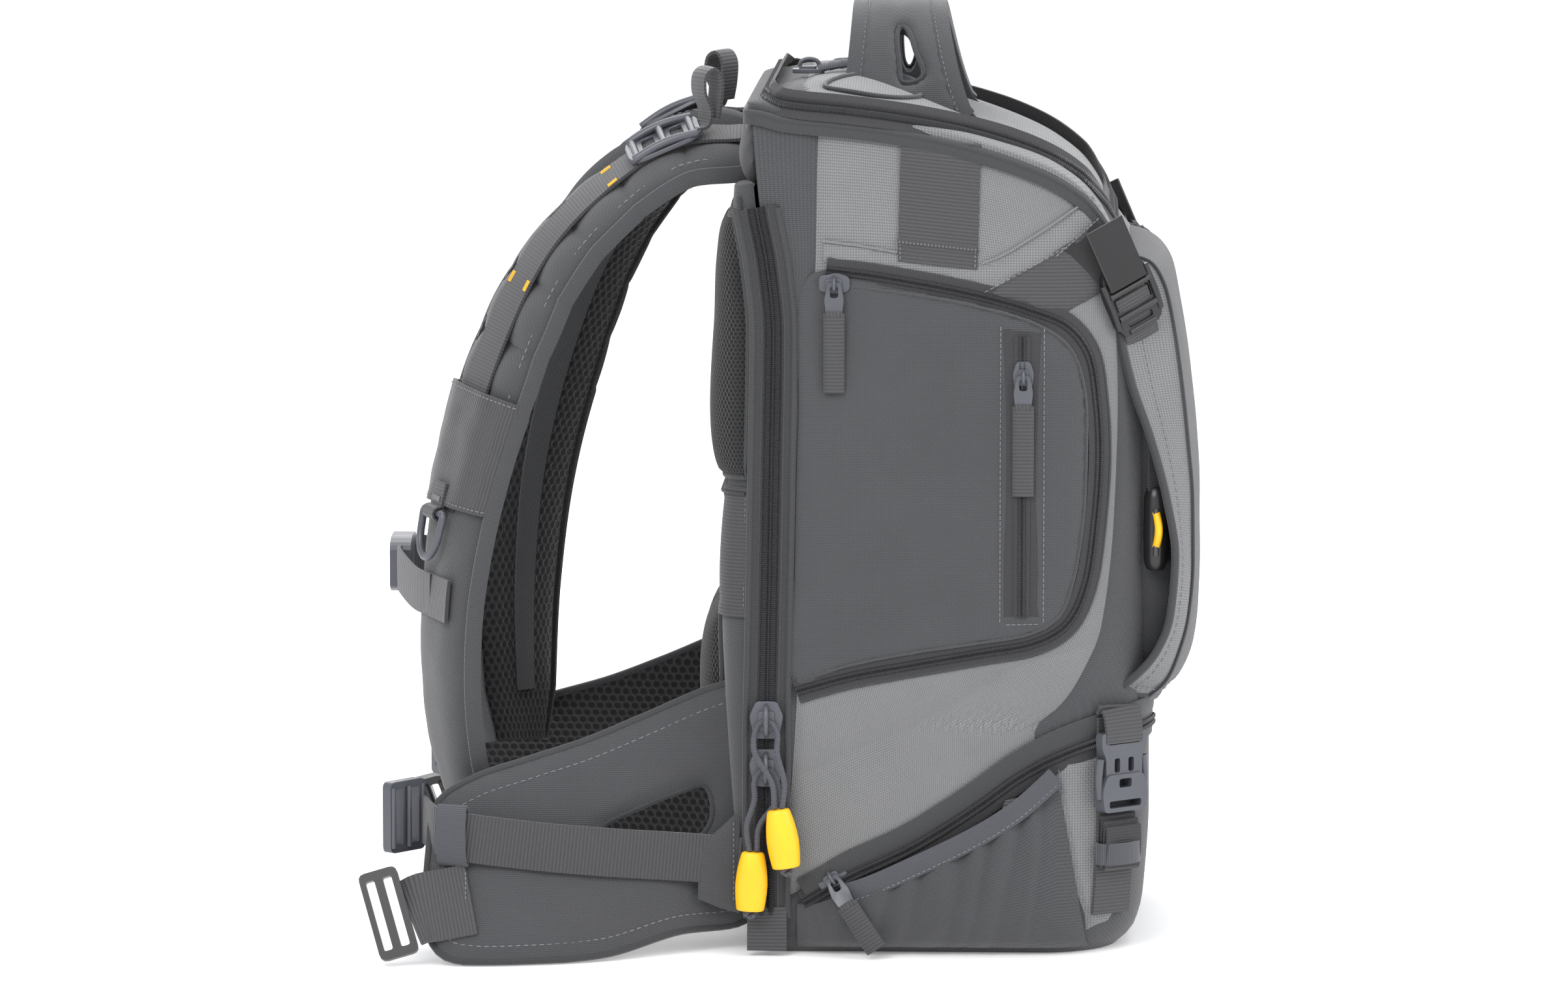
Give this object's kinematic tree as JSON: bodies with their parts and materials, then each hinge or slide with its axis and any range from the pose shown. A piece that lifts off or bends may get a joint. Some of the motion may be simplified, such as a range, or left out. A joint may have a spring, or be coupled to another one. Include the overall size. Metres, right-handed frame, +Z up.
{
  "type": "camera backpack",
  "caption": "Tall padded backpack with side access doors, a front flap over a pocket, stretch side pockets, an arched grab handle, shoulder straps and a hip belt.",
  "frame": {"origin": "on the floor under the middle of the bag, where its flat base rests", "axes": "+X towards the front flap, -Y the wearer's left side, +Z up"},
  "size_m": [0.4681, 0.3702, 0.5255],
  "materials": {
    "grey_weave": "coarse grey ballistic weave",
    "charcoal": "charcoal twill with bound edges",
    "webbing": "ribbed webbing",
    "mesh": "black spacer mesh with round holes",
    "plastic": "satin grey moulded plastic",
    "black_plastic": "satin black moulded plastic",
    "yellow": "satin yellow moulded toggles"
  },
  "bodies": {
    "bag": {"body_shell": "grey_weave", "top_lid": "grey_weave", "front_flap": "grey_weave", "handle": "grey_weave", "back_panel": "charcoal", "front_pocket": "charcoal", "side_door_left": "charcoal", "side_door_right": "charcoal", "side_pocket_left": "charcoal", "side_pocket_right": "charcoal", "main_zip_left": "charcoal", "main_zip_right": "charcoal", "shoulder_strap_left": "charcoal", "shoulder_strap_right": "charcoal", "hip_belt_left": "charcoal", "hip_belt_right": "charcoal", "pull_cord_upper": "charcoal", "pull_cord_lower": "charcoal", "trolley_band": "webbing", "lid_pull": "webbing", "side_tab_left": "webbing", "side_tab_right": "webbing", "flap_strap_left": "webbing", "flap_strap_right": "webbing", "base_strap_left": "webbing", "base_strap_right": "webbing", "strap_webbing_left": "webbing", "strap_webbing_right": "webbing", "strap_sleeve_left": "webbing", "strap_sleeve_right": "webbing", "sternum_strap_left": "webbing", "sternum_strap_right": "webbing", "lower_strap_left": "webbing", "lower_strap_right": "webbing", "belt_webbing_left": "webbing", "belt_webbing_right": "webbing", "lumbar_pad": "mesh", "back_pad_left": "mesh", "back_pad_right": "mesh", "sternum_buckle": "plastic", "base_buckle_left": "plastic", "base_buckle_right": "plastic", "lifter_buckle_left": "plastic", "lifter_buckle_right": "plastic", "ladder_buckle_left": "plastic", "ladder_buckle_right": "plastic", "flap_buckle_left": "black_plastic", "flap_buckle_right": "black_plastic", "belt_buckle_left": "black_plastic", "belt_buckle_right": "black_plastic", "toggle_upper": "yellow", "toggle_lower": "yellow"},
    "d_ring_left": {"d_ring_left": "plastic"},
    "d_ring_right": {"d_ring_right": "plastic"},
    "door_pull_left": {"door_pull_left": "webbing"},
    "door_pull_right": {"door_pull_right": "webbing"},
    "pocket_pull_left": {"pocket_pull_left": "webbing"},
    "pocket_pull_right": {"pocket_pull_right": "webbing"},
    "base_pull_left": {"base_pull_left": "webbing"},
    "base_pull_right": {"base_pull_right": "webbing"}
  },
  "joints": [
    {"name": "d_ring_left_hinge", "type": "hinge", "parent": "bag", "child": "d_ring_left", "pos_m": [-0.28092, -0.09669, 0.2429], "axis": [-0.4624, 0.8849, 0.0553], "range_deg": [0, 120]},
    {"name": "d_ring_right_hinge", "type": "hinge", "parent": "bag", "child": "d_ring_right", "pos_m": [-0.25773, 0.10163, 0.23782], "axis": [0.7094, 0.7002, -0.0803], "range_deg": [0, 120]},
    {"name": "door_pull_left_hinge", "type": "hinge", "parent": "bag", "child": "door_pull_left", "pos_m": [-0.05543, -0.1421, 0.37586], "axis": [-1, 0, 0], "range_deg": [0, 100]},
    {"name": "door_pull_right_hinge", "type": "hinge", "parent": "bag", "child": "door_pull_right", "pos_m": [-0.05543, 0.1421, 0.37586], "axis": [1, 0, 0], "range_deg": [0, 100]},
    {"name": "pocket_pull_left_hinge", "type": "hinge", "parent": "bag", "child": "pocket_pull_left", "pos_m": [0.04908, -0.14553, 0.32499], "axis": [-1, 0, 0], "range_deg": [0, 100]},
    {"name": "pocket_pull_right_hinge", "type": "hinge", "parent": "bag", "child": "pocket_pull_right", "pos_m": [0.04908, 0.14553, 0.32499], "axis": [1, 0, 0], "range_deg": [0, 100]},
    {"name": "base_pull_left_hinge", "type": "hinge", "parent": "bag", "child": "base_pull_left", "pos_m": [-0.05647, -0.14286, 0.04427], "axis": [-0.8387, 0, -0.5446], "range_deg": [0, 100]},
    {"name": "base_pull_right_hinge", "type": "hinge", "parent": "bag", "child": "base_pull_right", "pos_m": [-0.05647, 0.14286, 0.04427], "axis": [0.8387, 0, 0.5446], "range_deg": [0, 100]}
  ]
}
